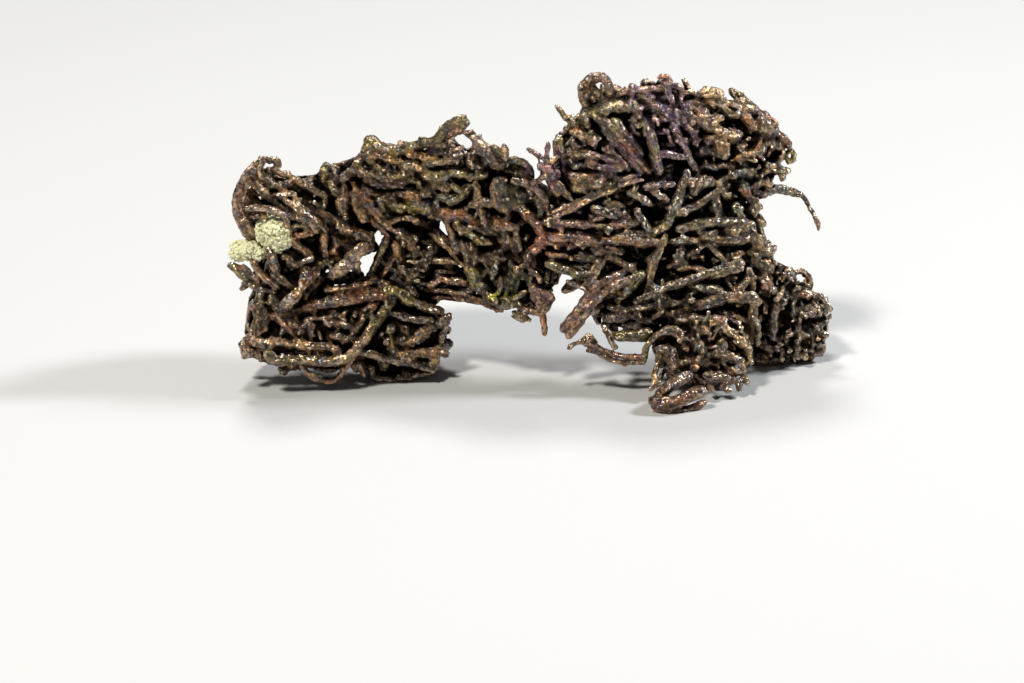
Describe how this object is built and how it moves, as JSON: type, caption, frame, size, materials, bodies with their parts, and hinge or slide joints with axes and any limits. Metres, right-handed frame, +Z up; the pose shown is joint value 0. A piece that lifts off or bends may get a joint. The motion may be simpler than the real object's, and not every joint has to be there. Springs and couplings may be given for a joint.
{
  "type": "native copper specimen",
  "caption": "Knotted mass of tarnished native copper rods and knobs grown together, with a low arch underneath, an open hook on top and two pale mineral crusts; stands on its lower knots.",
  "frame": {"origin": "under the middle of the bounding box, on the plane that the specimen stands on", "axes": "+X to the right along the longest extent, seen from the face; -Y is the face with the pale crusts and the forward foot; +Z up"},
  "size_m": [0.102, 0.0372, 0.0537],
  "materials": {
    "tarnished_copper": "tarnished metal, brown and olive with violet and blue patches and bright edges",
    "mineral_crust": "matt, sugary grains"
  },
  "bodies": {
    "root": {"native_copper": "tarnished_copper", "crust_upper": "mineral_crust", "crust_lower": "mineral_crust"}
  },
  "joints": []
}
